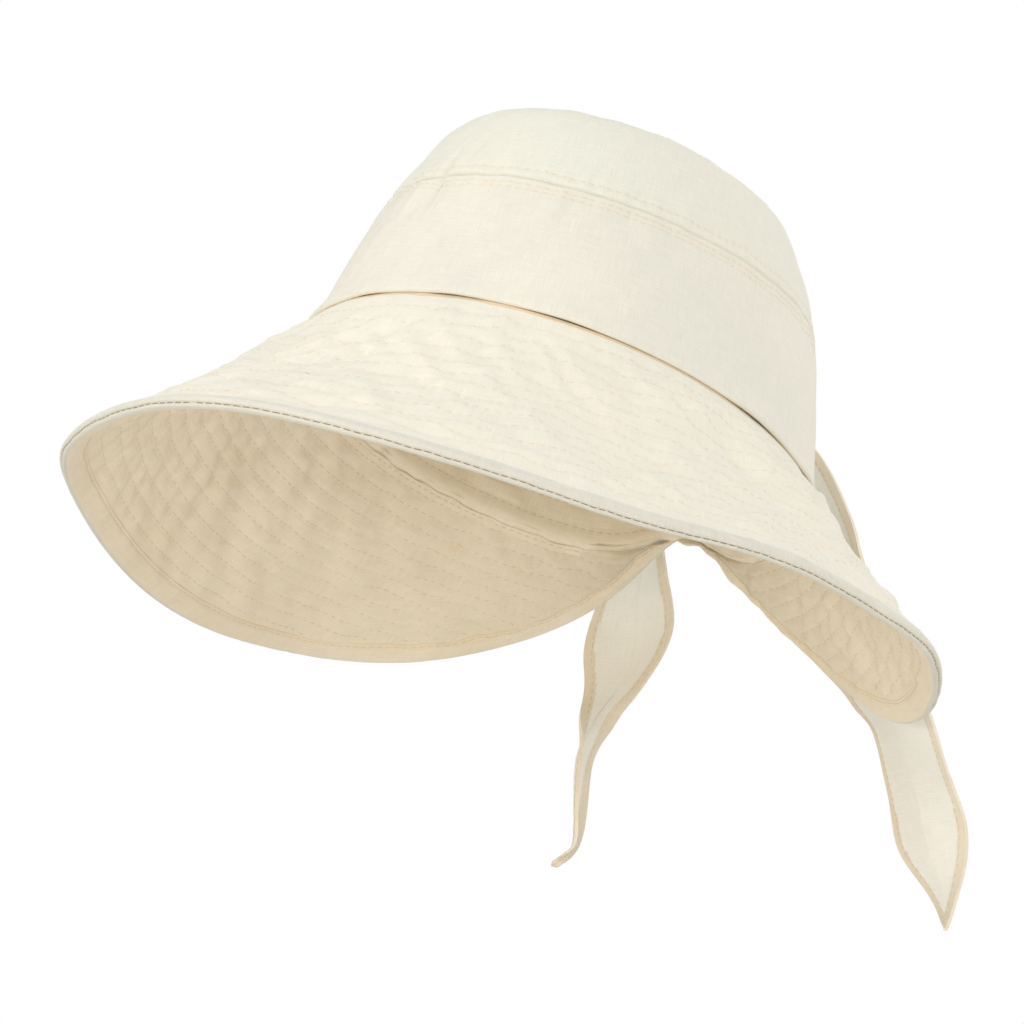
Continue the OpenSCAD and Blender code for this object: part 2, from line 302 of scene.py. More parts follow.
dents = crumple(1, 26, 20, 20)
crown_dents = crumple(2, 18, 13, 60, round_mm=CROWN_GIRTH)
crown_creases = crumple(3, 11, 2.6, 55, round_mm=CROWN_GIRTH)
gathers = crumple(4, 7, 1.5, 90, round_mm=CROWN_GIRTH)
brim_creases = crumple(5, 10, 2.4, -48)
cross_creases = crumple(6, 8, 2.2, 52)
puckers_upper = crumple(7, 2.3, 1.4, 90)
puckers_lower = crumple(8, 2.6, 1.4, 90)
under_creases = crumple(9, 9, 2.2, 35)
small_creases = crumple(10, 4.5, 1.3, -25)
print("10 sets of folds")

# %% [markdown]
# ## Laying a flat grid on the hat
# A grid primitive is the flat cut of cloth. Its points are moved to where a place function says,
# its seam is merged, its faces are turned outwards, and Solidify gives it the cloth's thickness.
# Its UV map is in metres on the flat cut, so a weave keeps the same scale on every piece.

# %% Helpers for objects
def deselect_all():
    bpy.ops.object.select_all(action="DESELECT")


def pick(piece):
    deselect_all()
    piece.select_set(True)
    bpy.context.view_layer.objects.active = piece


def in_edit_mode(piece, *steps):
    pick(piece)
    bpy.ops.object.mode_set(mode="EDIT")
    bpy.ops.mesh.select_all(action="SELECT")
    for step in steps:
        step()
    bpy.ops.object.mode_set(mode="OBJECT")


def read_points(piece):
    flat = np.empty(len(piece.data.vertices) * 3)
    piece.data.vertices.foreach_get("co", flat)
    return flat.reshape(-1, 3)


def apply_modifier(piece, kind, **settings):
    pick(piece)
    modifier = piece.modifiers.new(kind.lower(), kind)
    for name, value in settings.items():
        setattr(modifier, name, value)
    bpy.ops.object.modifier_apply(modifier=modifier.name)


def smooth_shading(piece, degrees=50):
    pick(piece)
    bpy.ops.object.shade_smooth_by_angle(angle=math.radians(degrees))


# %% Lay a cloth
SINGLE_CLOTH = 0.6  # thickness beside a tie's hem, as a share of the hem's
PROBE = 0.2  # a lift that shows which way a place function faces
MERGE = 2e-6


def lengths_along(place, across, rows):
    """How far each row is from the first one on the cloth, in millimetres."""
    probe = place(np.full(len(rows), across[len(across) // 4]), rows, 0.0)
    return np.concatenate([[0], np.cumsum(np.linalg.norm(np.diff(probe, axis=0), axis=1))])


def lay_cloth(name, across, rows, place, thickness, cut_w, hem=None):
    """A grid with a column at each value of across and a row at each of rows, laid by place.

    The flat cut is cut_w wide, and hem says where the cloth is doubled."""
    columns, lines = len(across) - 1, len(rows) - 1
    deselect_all()
    bpy.ops.mesh.primitive_grid_add(x_subdivisions=columns, y_subdivisions=lines, size=1)
    piece = bpy.context.object
    piece.name = name
    flat = read_points(piece) + 0.5
    column = np.rint(flat[:, 0] * columns).astype(int)
    row = np.rint(flat[:, 1] * lines).astype(int)
    laid = place(across[column], rows[row], 0.0)
    lifted = place(across[column], rows[row], PROBE) - laid
    piece.data.vertices.foreach_set("co", (laid * MM).ravel())
    piece.data.update()

    corner = np.empty(len(piece.data.loops), int)
    piece.data.loops.foreach_get("vertex_index", corner)
    uv = np.stack([column / columns * cut_w, lengths_along(place, across, rows)[row]], axis=-1) * MM
    piece.data.uv_layers[0].data.foreach_set("uv", uv[corner].ravel())

    normals = np.empty(len(flat) * 3)
    piece.data.vertices.foreach_get("normal", normals)
    steps = [lambda: bpy.ops.mesh.remove_doubles(threshold=MERGE)]
    if (normals.reshape(-1, 3) * lifted).sum() < 0:
        steps.append(lambda: bpy.ops.mesh.flip_normals())
    in_edit_mode(piece, *steps)
    settings = {"thickness": thickness * MM, "offset": -1.0}
    if hem is not None:
        settings = {"thickness": thickness * MM, "offset": 0.0, "vertex_group": hem_group(piece, hem),
                    "thickness_vertex_group": SINGLE_CLOTH}
    apply_modifier(piece, "SOLIDIFY", **settings)
    smooth_shading(piece)
    return piece


def hem_group(piece, hem):
    """Marks the points that lie in a hem, where the cloth is doubled."""
    group = piece.vertex_groups.new(name="hem")
    uv = np.empty(len(piece.data.loops) * 2)
    piece.data.uv_layers[0].data.foreach_get("uv", uv)
    corner = np.empty(len(piece.data.loops), int)
    piece.data.loops.foreach_get("vertex_index", corner)
    place = np.zeros((len(piece.data.vertices), 2))
    place[corner] = uv.reshape(-1, 2) / MM
    weight = hem(place[:, 0], place[:, 1])
    for i, value in enumerate(weight):
        group.add([i], float(value), "REPLACE")
    return group.name


# %% [markdown]
# ## Sewing thread
# A row of stitches is what makes a seam read as sewn. A cord along the row would look like piping,
# and a bump would vanish from the side, so each stitch is a small closed lozenge that lies along
# the cloth, with 12 faces because there are thousands of them. A row is given by its points and the
# cloth's normals.

# %% Sew rows of stitches
STITCH = {"length": 2.3, "gap": 0.7, "wide": 0.36, "high": 0.16}
STITCH_CORNERS = 10
SHOULDERS = (0.22, 0.78)  # where along a stitch it is widest
ON_CLOTH = 0.08
STITCH_FACES = [[0, 2, 1], [0, 3, 2], [0, 4, 3], [0, 1, 4],
                [1, 2, 6, 5], [2, 3, 7, 6], [3, 4, 8, 7], [4, 1, 5, 8],
                [9, 5, 6], [9, 6, 7], [9, 7, 8], [9, 8, 5]]


def stitch_row(points, normals, length, gap, wide, high):
    """The corners of each stitch along a row: shape (stitches, 10, 3), in millimetres."""
    run = np.concatenate([[0], np.cumsum(np.linalg.norm(np.diff(points, axis=0), axis=1))])
    starts = np.arange(gap, run[-1] - length, length + gap)

    def at(distance, values):
        return np.stack([np.interp(distance, run, values[:, k]) for k in range(3)], axis=-1)

    first, last = at(starts, points), at(starts + length, points)
    normal = unit(at(starts + length / 2, normals))
    side = unit(np.cross(last - first, normal))
    corners = [first - normal * high]
    for share in SHOULDERS:
        middle = at(starts + length * share, points)
        corners += [middle + side * wide / 2, middle + normal * high,
                    middle - side * wide / 2, middle - normal * high]
    corners.append(last - normal * high)
    return np.stack(corners, axis=1)


def sew(name, rows, **sizes):
    """One mesh of all the stitches in rows, each row a pair of points and normals."""
    found = [stitch_row(p, n, **{**STITCH, **sizes}) for p, n in rows if len(p) > 3]
    corners = np.concatenate(found)
    faces = [[i * STITCH_CORNERS + k for k in face] for i in range(len(corners))
             for face in STITCH_FACES]
    mesh = bpy.data.meshes.new(name)
    mesh.from_pydata((corners.reshape(-1, 3) * MM).tolist(), [], faces)
    piece = bpy.data.objects.new(name, mesh)
    bpy.context.scene.collection.objects.link(piece)
    in_edit_mode(piece, lambda: bpy.ops.mesh.normals_make_consistent(inside=False))
    smooth_shading(piece, degrees=80)
    print(name, len(corners), "stitches")
    return piece


def row_on(place, across, row):
    """Points just on the cloth along a row, and the cloth's normals there."""
    row = np.broadcast_to(row, across.shape).astype(float)
    points = place(across, row, ON_CLOTH)
    return points, unit(place(across, row, 0.6) - points)


# %% [markdown]
# ## Crown top
# One oval cut, eased into the seam, so it puckers along the seam and is soft above it. A subdivided
# sphere would have its own shape to fight, so a grid is wrapped round instead: its first row turns
# in at the seam, and its last row closes at the tip.

# %% The crown's cloth
RING = np.linspace(0, 360, 361)
SEAM_SHARE = float(share_at(BAND_H))
PROFILE_LENGTH = 128.0
SEAM_STRETCH = 1.1  # a share of the profile is longer near the seam than on average
SEAM_TUCK = 1.0
SEAM_TUCK_W = 0.33
SEAM_ROW_ABOVE = 3.6
SEAM_ROWS_BELOW = (2.6, 4.6)
DENT_H, CREASE_H, GATHER_H = 0.3, 0.15, 0.5
CALM_TIP = 0.25
FOLDS_START = 80  # where on the folds' own field the seam lies
GATHER_MIDDLE, GATHER_REACH = 4, 9.0
MOST_GATHERED = (350, 45, 1.1)
LEAST_GATHERED = 0.35
SHOULDER_PUFF = (0.55, 0.15, 2.0)
TIP_SINK, SINK_FROM, SINK_OVER = 8.0, 0.5, 0.42
SOFT_SPOTS = [(-2.2, 0.47, 0.13, 118, 35), (1.3, 0.48, 0.13, 305, 40)]
LAST_SHARE = 0.9995


def seam_height(share):
    """How far above the seam a share of the profile is, along the cloth, in millimetres."""
    return (share - SEAM_SHARE) * PROFILE_LENGTH * SEAM_STRETCH


def share_above(distance):
    return SEAM_SHARE + distance / (PROFILE_LENGTH * SEAM_STRETCH)


def crown_slump(angle, share):
    """How far the crown's shoulder puffs out and its tip sinks, with a soft spot on each side."""
    middle, reach, amount = SHOULDER_PUFF
    slump = amount * bump(share - middle, reach) - TIP_SINK * smooth((share - SINK_FROM) / SINK_OVER)
    for amount, up, tall, middle, wide in SOFT_SPOTS:
        slump = slump + amount * bump(share - up, tall) * bump(turn(angle) - middle, wide)
    return slump


def crown_folds(angle, share):
    """How far the cloth stands out from the smooth crown, in millimetres."""
    height = seam_height(share) + FOLDS_START
    calm = smooth((1 - share) / CALM_TIP)
    from_seam = np.abs(seam_height(share))
    pulled = bump(from_seam - GATHER_MIDDLE, GATHER_REACH) * smooth(from_seam / 1.5)
    middle, reach, amount = MOST_GATHERED
    gathered = LEAST_GATHERED + amount * bump(np.abs(turn(angle) - middle), reach)
    folds = calm * (DENT_H * crown_dents(angle, height) + CREASE_H * crown_creases(angle, height))
    return folds + crown_slump(angle, share) + pulled * gathered * GATHER_H * gathers(angle, height)


def crown_top_place(angle, share, lift):
    up = seam_height(share)
    tuck = SEAM_TUCK * bump(up, SEAM_TUCK_W)
    ridge = 0.22 * bump(up - 1.6, 1.5)
    dip = 0.25 * bump(up - SEAM_ROW_ABOVE, 0.7)
    depth = 0.05 + tuck - ridge + dip - crown_folds(angle, share) - lift
    return crown_point(angle, np.minimum(share, LAST_SHARE), depth)


near_seam = share_above(np.linspace(0, 7, 29))
crown_top_rows = np.concatenate([near_seam, np.linspace(near_seam[-1], 1, 46)[1:]])
crown_top_cloth = lay_cloth("crown_top_cloth", RING, crown_top_rows, crown_top_place, 0.7, 480)

# %% [markdown]
# ## Band
# The band is a strip folded over at its lower edge. The fold is round, stands a little off the brim
# and throws a fine shadow on it, whose warm tone is painted on the brim as shade. The strip runs from
# behind the fold, round it, up the wall and into the seam, so its section is drawn by one function of
# the distance along the strip.

# %% The band's cloth
FOLD_R = 1.0
FOLD_LEG = 8.0
FOLD_LENGTH = math.pi * FOLD_R
FOLD_END = FOLD_LEG + FOLD_LENGTH
FOLD_GAP = 0.3
WALL_SPAN = BAND_H - FOLD_R - FOLD_GAP
STRIP_UP = 56.0
SEAM_PART = 8.0  # the stretch below the seam that gets fine rows
FLARE_H = 13.0
FLARE, FLARE_VARIES, FLARE_POWER = 1.7, 0.45, 1.4
FREE_H = 9  # above the fold, the band follows the crown's folds


def band_place(angle, along_strip, lift):
    leg = np.clip(along_strip, 0, FOLD_LEG)
    bend = np.clip((along_strip - FOLD_LEG) / FOLD_LENGTH, 0, 1) * math.pi
    up = np.maximum(along_strip - FOLD_LEG - FOLD_LENGTH, 0)
    behind = bend < math.pi
    height = np.where(behind, FOLD_LEG - leg, up / STRIP_UP * WALL_SPAN)
    share = share_at(height + FOLD_R + FOLD_GAP)
    uneven = np.clip(dents(angle * 3, 40 * np.ones_like(angle)), -1.5, 1.5)
    flare = (FLARE + FLARE_VARIES * uneven) * (1 - smooth((height + FOLD_R) / FLARE_H)) ** FLARE_POWER
    from_seam = BAND_H - height - FOLD_R - FOLD_GAP
    seam = SEAM_TUCK * bump(from_seam, SEAM_TUCK_W) - 0.12 * bump(from_seam - 1.5, 1.2)
    seam = seam + sum(0.2 * bump(from_seam - row, 0.6) for row in SEAM_ROWS_BELOW)
    hem_free = smooth(height / FREE_H)
    face_depth = 0.1 + seam * ~behind - crown_folds(angle, share) * hem_free
    leg_depth = 2 * FOLD_R - (2 * FOLD_R - 1.0) * smooth(height / FOLD_LEG)
    leg_depth = leg_depth - crown_folds(angle, share) * hem_free
    depth = np.where(behind & (along_strip < FOLD_LEG), leg_depth, face_depth)
    rolling = behind & (along_strip >= FOLD_LEG)
    depth = np.where(rolling, FOLD_R * (1 + np.cos(bend)) + 0.1 * bend / math.pi, depth)
    outwards = np.where(rolling, -np.cos(bend), np.where(behind, -1.0, 1.0))
    below = np.where(rolling, np.sin(bend) * (FOLD_R + lift), 0)
    p = crown_point(angle, share, depth - flare - lift * outwards)
    return p - point(0, 0, below)


band_strip = np.concatenate([
    np.linspace(0, FOLD_LEG, 7),
    np.linspace(FOLD_LEG, FOLD_END, 9)[1:],
    np.linspace(FOLD_END, FOLD_END + STRIP_UP - SEAM_PART, 42)[1:],
    np.linspace(FOLD_END + STRIP_UP - SEAM_PART, FOLD_END + STRIP_UP, 33)[1:]])
crown_band_cloth = lay_cloth("crown_band_cloth", RING, band_strip, band_place, 0.55, 560)

# %% Topstitching beside the seam
FINE_RING = np.linspace(0, 360, 1441)
seam_threads = sew("seam_threads", [row_on(crown_top_place, FINE_RING, share_above(SEAM_ROW_ABOVE))]
                   + [row_on(band_place, FINE_RING, FOLD_END + STRIP_UP * (1 - row / WALL_SPAN))
                      for row in SEAM_ROWS_BELOW])

# %% [markdown]
# ## Inside the crown
# Behind the band are the side wall that carries it, a tape over the seam and a sweatband round the
# opening. They are seen from below, so they are laid as cloth too, each at its own depth under the
# band. The sweatband's lower edge turns out and is sewn to the brim, so its place blends the two
# surfaces.

# %% Side wall, seam tape and sweatband
INNER_RING = np.linspace(0, 360, 241)
TAPE_LOW = BAND_H - TAPE_W / 2
TAPE_HIGH = BAND_H + TAPE_W / 2
SWEATBAND_DEPTH = COLLAR + 0.8
SIDE_WALL_DEPTH = 1.9
SEAM_TAPE_DEPTH = BACK_DEPTH + 0.75
TAPE_ROWS = (-3.5, 3.5)
TAPE_TURN = 8.5  # the part of the sweatband that lies on the brim
SWEATBAND_ROWS = (2.0 - TAPE_TURN, 2.5, 9.0, 15.5, 22.0, SWEATBAND_H - 2.5)
WALL_START = 0.004
ROW_W = 1.1
ROW_DIP = 0.3


def side_wall_place(angle, share, lift):
    free = smooth(share / FOOT_SHARE)
    return crown_point(angle, share, SIDE_WALL_DEPTH - crown_folds(angle, share) * free + lift)


def seam_tape_place(angle, share, lift):
    edge = sum(bump((share - share_at(end)) * PROFILE_LENGTH, 1.0) for end in (TAPE_LOW, TAPE_HIGH))
    stitch_dip = sum(bump(seam_height(share) - row, 1.0) for row in TAPE_ROWS)
    depth = SEAM_TAPE_DEPTH - 0.2 * edge - 0.25 * stitch_dip - crown_folds(angle, share)
    return crown_point(angle, share, depth + lift)


def sweatband_place(angle, height, lift):
    """Height is along the tape. Low down it turns outwards and lies on the brim's lower cloth."""
    dip = sum(bump(height - row, ROW_W) for row in SWEATBAND_ROWS)
    ease = 0.25 * gathers(angle, 40 + height) + 0.45 * cross_creases(angle, 60 + height)
    ease = ease * (1 - 0.6 * dip) * smooth((height + TAPE_TURN) / 4)
    depth = SWEATBAND_DEPTH - ROW_DIP * dip + ease + lift
    on_wall = crown_point(angle, share_at(np.maximum(height, 0)), depth)
    on_wall = on_wall + point(0, 0, np.minimum(height, 0))
    out = np.minimum(-height - COLLAR, 0.45 * brim_w(angle))
    stands = 0.05 + 0.6 * smooth((height + TAPE_TURN) / 2.5)
    on_brim = brim_point(angle, out, BRIM_T + stands - ROW_DIP * dip + ease + lift)
    turned = smooth((height + 2.5) / 6)[..., None]
    return on_wall * turned + on_brim * (1 - turned)


side_wall_cloth = lay_cloth("side_wall_cloth", INNER_RING,
                            np.linspace(WALL_START, share_at(TAPE_HIGH), 34),
                            side_wall_place, 0.5, 560)
seam_tape_strip = lay_cloth("seam_tape_strip", INNER_RING,
                            np.linspace(share_at(TAPE_LOW), share_at(TAPE_HIGH), 14),
                            seam_tape_place, 0.4, 520)
sweatband_tape = lay_cloth("sweatband_tape", INNER_RING, np.linspace(-TAPE_TURN, SWEATBAND_H, 56),
                           sweatband_place, 0.6, 560)
inside_threads = sew("inside_threads",
                     [row_on(sweatband_place, FINE_RING, h) for h in SWEATBAND_ROWS]
                     + [row_on(seam_tape_place, FINE_RING, share_above(h)) for h in TAPE_ROWS])

# %% [markdown]
# ## Brim
# The brim's two cloths are quilted to a stiffener in rows that follow the head. Each row pulls the
# cloth down and puckers it, and between two rows it puffs up. A bump map can't be seen at the edge
# or under a low light, so the rows, puckers and creases are all shaped in fine grids, one for each
# face.

# %% The brim's cloths
BRIM_RING = np.linspace(0, 360, 561)
QUILT_ROWS = 15
QUILT_STEPS = 5
QUILT_LINE_W = 0.95
HEM_W = 8.6
SINK = 0.55  # the lowest that a cloth may go, so that the stiffener stays inside
STIFFENER_DEPTH = 1.05
UNDER_LEG_FLAT = 7.4  # the lower cloth lies flat under the binding
BRIM_WAVES = [(0.9, dents), (0.62, brim_creases), (0.4, cross_creases)]
PUFF, TOP_DIP, UNDER_DIP = 0.2, 0.22, 0.3
TOP_PUCKER, TOP_CREASE = 0.15, 0.22
UNDER_PUCKER, UNDER_CREASE, UNDER_SMALL = 0.13, 0.32, 0.17


def from_head(angle, t):
    """How far out a row of the brim is. Rows below 0 lie on the collar."""
    return np.where(t < 0, t * COLLAR, t * brim_w(angle))


def quilting(angle, s):
    """1 on a quilting row and 0 between rows. The rows run off the brim at the split."""
    pitch = full_brim_w(angle) / QUILT_ROWS
    near = np.abs(s / pitch - np.rint(s / pitch)) * pitch
    inside = smooth(s / 4) * smooth((brim_w(angle) - s - HEM_W) / 1.5 + 0.5)
    return bump(near, QUILT_LINE_W) * inside


def brim_waves(angle, s):
    """Broad waves that both faces of the brim share, in millimetres."""
    t = s / brim_w(angle)
    free = smooth(t / 0.2) * smooth((1 - t) / 0.15)
    return free * sum(high * folds(angle, s) for high, folds in BRIM_WAVES)


def stands_out(row, dip, folds):
    """How far a face stands out. It puffs up between the rows, dips on them, and has its folds."""
    return np.maximum(PUFF * (1 - row) - dip * row + folds, -SINK)


def brim_upper_place(angle, t, lift):
    s = from_head(angle, t)
    row = quilting(angle, s)
    free = smooth(s / 4) * smooth((brim_w(angle) - s) / 5)
    folds = TOP_PUCKER * puckers_upper(angle, s) * (0.6 + row) + TOP_CREASE * small_creases(angle, s)
    rise = stands_out(row, TOP_DIP, folds)
    return brim_point(angle, s, -rise * free - brim_waves(angle, s) - lift)


def brim_lower_place(angle, t, lift):
    s = from_head(angle, t)
    row = quilting(angle, s)
    free = smooth(s / 4) * smooth((brim_w(angle) - s - UNDER_LEG_FLAT) / 4)
    folds = UNDER_PUCKER * puckers_lower(angle, s) * (0.5 + row) + UNDER_CREASE * under_creases(angle, s)
    folds = folds + UNDER_SMALL * small_creases(angle, s + 90)
    rise = stands_out(row, UNDER_DIP, folds)
    return brim_point(angle, s, BRIM_T + rise * free - brim_waves(angle, s) + lift)


def brim_middle_place(angle, t, lift):
    s = from_head(angle, t)
    return brim_point(angle, s, STIFFENER_DEPTH - brim_waves(angle, s) - lift)


brim_rows = np.concatenate([[-1.0, -0.5], np.linspace(0, 1, QUILT_ROWS * QUILT_STEPS + 1)])
brim_upper_cloth = lay_cloth("brim_upper_cloth", BRIM_RING, brim_rows, brim_upper_place, 0.45, 760)
brim_lower_cloth = lay_cloth("brim_lower_cloth", BRIM_RING, brim_rows, brim_lower_place, 0.45, 760)
brim_stiffener = lay_cloth("brim_stiffener", INNER_RING, brim_rows[::4], brim_middle_place, 0.3, 760)


# %% Quilting thread
def quilt_thread_rows(place):
    """One run of thread for each row, cut where the row leaves the brim."""
    found = []
    for k in range(1, QUILT_ROWS + 1):
        s = k * full_brim_w(FINE_RING) / QUILT_ROWS
        on_brim = s < brim_w(FINE_RING) - HEM_W
        if not on_brim.any():
            continue
        angles = FINE_RING[on_brim]
        cut = np.flatnonzero(np.diff(angles) > 1)
        for run in np.split(angles, cut + 1):
            t = k * full_brim_w(run) / QUILT_ROWS / brim_w(run)
            found.append(row_on(place, run, t))
    return found


quilting_upper = sew("quilting_upper", quilt_thread_rows(brim_upper_place), length=2.4, gap=1.0,
                     wide=0.34, high=0.17)
quilting_lower = sew("quilting_lower", quilt_thread_rows(brim_lower_place), length=2.4, gap=1.1,
                     wide=0.3, high=0.1)

# %% [markdown]
# ## Edge binding
# A bias tape folds round the brim's edge. It is a thick round roll with a sunken row of stitches
# close to the edge on the upper face, and a wider hem with its own row below. Its section is a
# handful of points, each a distance in from the edge and a depth, and a smooth curve joins them.

# %% The binding
BINDING_SECTION = [(-4.1, 0.15), (-4.0, -0.6), (-3.3, -0.95), (-2.3, -1.05), (-1.2, -1.05),
                   (-0.2, -0.95), (0.7, -0.6), (1.3, 0.0), (1.5, 0.65), (1.1, 1.15), (1.55, 1.5),
                   (1.7, 2.05), (1.2, 2.75), (0.2, 3.15), (-1.2, 3.3), (-2.8, 3.35), (-4.3, 3.35),
                   (-5.6, 3.15), (-6.4, 2.8), (-7.0, 3.0), (-7.5, 2.7), (-7.7, 1.9)]
TOP_STITCH_STEP = 9.0
UNDER_STITCH_STEP = 18.0
UNDER_FACE_STEP = 12.6
EDGE_MIDDLE = (-1.2, 1.2)
TOP_LEG_W, TOP_LEG_SHARE = 4.1, 0.5  # where the brim is narrow, a leg takes up at most its share
UNDER_LEG_W, UNDER_LEG_SHARE = 7.6, 0.7


def binding_place(angle, step, lift):
    w = brim_w(angle)
    spot = along(BINDING_SECTION, step)
    away = unit(spot - np.array(EDGE_MIDDLE))
    spot = spot + away * lift
    room = np.where(spot[..., 1] > EDGE_MIDDLE[1], UNDER_LEG_SHARE * w / UNDER_LEG_W,
                    TOP_LEG_SHARE * w / TOP_LEG_W)
    back = np.where(spot[..., 0] < 0, np.minimum(1, room), 1)
    pull = (0.1 * puckers_upper(angle, 200 + step) * bump(step - TOP_STITCH_STEP, 3.0)
            + 0.13 * gathers(angle * 3, 100 + step * 1.5) * bump(step - UNDER_STITCH_STEP, 2.2))
    s = w + spot[..., 0] * back
    return brim_point(angle, s, spot[..., 1] + pull - brim_waves(angle, s))


binding_steps = np.linspace(0, len(BINDING_SECTION) - 1, 85)
edge_binding = lay_cloth("edge_binding", BRIM_RING, binding_steps, binding_place, 0.4, 900)
binding_threads = sew("binding_threads", [row_on(binding_place, FINE_RING, TOP_STITCH_STEP)],
                      length=2.7, gap=0.3, wide=0.32, high=0.1)
hem_threads = sew("hem_threads", [row_on(binding_place, FINE_RING, UNDER_STITCH_STEP)],
                  length=2.4, gap=0.6, wide=0.34, high=0.1)

# %% [markdown]
# ## Ties
# Each tie is one strip of hemmed cloth that leaves the knot, lies over the brim, turns over its
# edge and hangs. The strip is given by its two long edges, and it takes a crease along its middle
# and a slow wave, as such a strip does. Each tie crosses two joints, and a piece can bend across
# only one, so the strip is made as two pieces that meet on a line in the middle of the stiff
# stretch.

# %% The ties' edges
KNOT_R, KNOT_END_R, KNOT_L = 10.5, 8.0, 26.0
KNOT_H, KNOT_GAP = 32.0, 0.3
KNOT_AT = crown_point(np.array(180.0), share_at(np.array(KNOT_H)), np.array(-KNOT_R - KNOT_GAP))


def beside_knot(side, up):
    return list(KNOT_AT + np.array([side * 13.9, 1, up * 11]))


left_outer = [beside_knot(1, 1), [36, 101, 47], [61, 92, 19], [77, 89, -4], [98, 90, -34],
              [116, 90, -60], [128, 87, -77], [134, 88, -91], [136, 92, -106], [132, 97, -122]]
left_inner = [beside_knot(1, -1), [25, 108, -1], [42, 114, -18], [57, 117, -31], [68, 118, -40],
              [79, 117, -48], [91.5, 111, -71], [104, 106, -92], [120.5, 101, -108], [131, 98, -121]]
right_outer = [beside_knot(-1, 1), [-26, 110, 38], [-35, 115, 14], [-39, 118, -13], [-38, 118, -30],
               [-33, 115, -44], [-28, 110, -58], [-22, 106, -73], [-18, 108, -89],
               [-18.5, 112, -103], [-26.5, 114, -110]]
right_inner = [beside_knot(-1, -1), [-18, 109, 15], [-16, 112, 8], [-13, 115, 1], [-7, 118, -18],
               [-12, 119, -39], [-20.5, 121, -54], [-24.5, 122, -67], [-22, 119, -86],
               [-18.5, 115, -104], [-24, 114, -112]]
print("knot at", np.round(KNOT_AT, 1))

# %% Lay a tie
TIE_HEM = 3.5
TIE_STITCH = 2.9
TIE_COLUMNS = np.linspace(0, 1, 41)
ROWS_A_STEP = 14
NUDGE = 0.02
TIP_STEP = 0.25
HEM_EDGE = 0.8
WIDE_TIE = 30  # a narrower tie takes a lower crease


def tie_place_for(outer, inner, crease, wave, phase):
    """The place function of a tie: share across, step along its edges, and lift off its face."""
    last = len(outer) - 1

    def place(across, step, lift):
        a, b = along(outer, step), along(inner, step)
        ahead = np.minimum(step + NUDGE, last)
        behind = np.maximum(step - NUDGE, 0)
        across = 0.5 + (across - 0.5) * (1 - smooth((step - last) / TIP_STEP + 1))
        middle = (a * (1 - across[..., None]) + b * across[..., None])
        run = ((along(outer, ahead) - along(outer, behind)) * (1 - across[..., None])
               + (along(inner, ahead) - along(inner, behind)) * across[..., None])
        face = unit(np.cross(b - a, run))
        width = np.linalg.norm(b - a, axis=-1)
        free = smooth(step / 1.2) * smooth((last - step) / 1.0)
        ridge = crease * (1 - np.abs(2 * across - 1)) ** 1.2 * free
        ridge = ridge * np.minimum(1, width / WIDE_TIE)
        ripple = wave * np.sin(step * 2.4 + phase + 2.2 * across)
        ripple = ripple * (0.3 + np.abs(2 * across - 1)) * free
        return middle + face * (ridge + ripple + lift)[..., None]

    return place


def tie_width(outer, inner, step):
    return np.linalg.norm(along(outer, step) - along(inner, step), axis=-1)


def tie_piece(name, outer, inner, place, first, last):
    """One stretch of a tie, with its hems and their thread."""
    steps = np.linspace(first, last, int((last - first) * ROWS_A_STEP) + 1)
    middle = place(np.full_like(steps, 0.5), steps, 0.0)
    length = float(np.linalg.norm(np.diff(middle, axis=0), axis=1).sum())
    widest = float(tie_width(outer, inner, steps).max())

    def hem(u, v):
        """1 in the hems along the two long edges, in the flat cut's millimetres."""
        width = tie_width(outer, inner, np.interp(v, lengths_along(place, TIE_COLUMNS, steps), steps))
        from_edge = np.minimum(u, widest - u) / widest * width
        return 1 - smooth((from_edge - TIE_HEM) / HEM_EDGE)

    cloth = lay_cloth(name, TIE_COLUMNS, steps, place, TIE_T, widest, hem)
    thread_steps = np.linspace(first, last, len(steps) * 4)
    share = np.minimum(TIE_STITCH / tie_width(outer, inner, thread_steps), 0.42)
    rows = []
    for across in (share, 1 - share):
        for side in (TIE_T / 2, -TIE_T / 2):
            on = place(across, thread_steps, side + math.copysign(0.05, side))
            rows.append((on, unit(on - place(across, thread_steps, 0.0))))
    threads = sew(name + "_threads", rows, length=2.2, gap=0.9, wide=0.34, high=0.12)
    print("  ", name, round(widest), "mm wide,", round(length), "mm long")
    return cloth, threads, (widest * MM, length * MM)


# %% Both ties
left_place = tie_place_for(left_outer, left_inner, crease=2.2, wave=0.8, phase=0.4)
right_place = tie_place_for(right_outer, right_inner, crease=6.5, wave=0.7, phase=1.3)
LEFT_MIDDLE, LEFT_HINGE = 3.0, 5.0
RIGHT_MIDDLE, RIGHT_HINGE = 1.6, 3.0
ties = {
    "left_tie_run": (left_outer, left_inner, left_place, 0.0, LEFT_MIDDLE),
    "left_tie_fall": (left_outer, left_inner, left_place, LEFT_MIDDLE, len(left_outer) - 1.0),
    "right_tie_run": (right_outer, right_inner, right_place, 0.0, RIGHT_MIDDLE),
    "right_tie_fall": (right_outer, right_inner, right_place, RIGHT_MIDDLE, len(right_outer) - 1.0),
}
tie_pieces = {name: tie_piece(name, *about) for name, about in ties.items()}

# %% [markdown]
# ## Knot
# The ties cross in a small hard knot. It is a barrel of gathered cloth with one turn of cloth
# wrapped round its middle. The barrel is a sphere primitive pulled long and pleated, and the wrap
# is a grid laid round it with slanting folds.

# %% The knot
PLEATS = 7
PLEAT_H = 1.5
PLEAT_SLANT = 0.09
UNDER_WRAP = 1.6
BARREL_POWER = 0.75  # below 1, the ball's ends grow blunt
WRAP_W = 15.0
WRAP_SLANT = 3.0


def knot_radius(x):
    return KNOT_END_R + (KNOT_R - KNOT_END_R) * (1 - (2 * x / KNOT_L) ** 2)


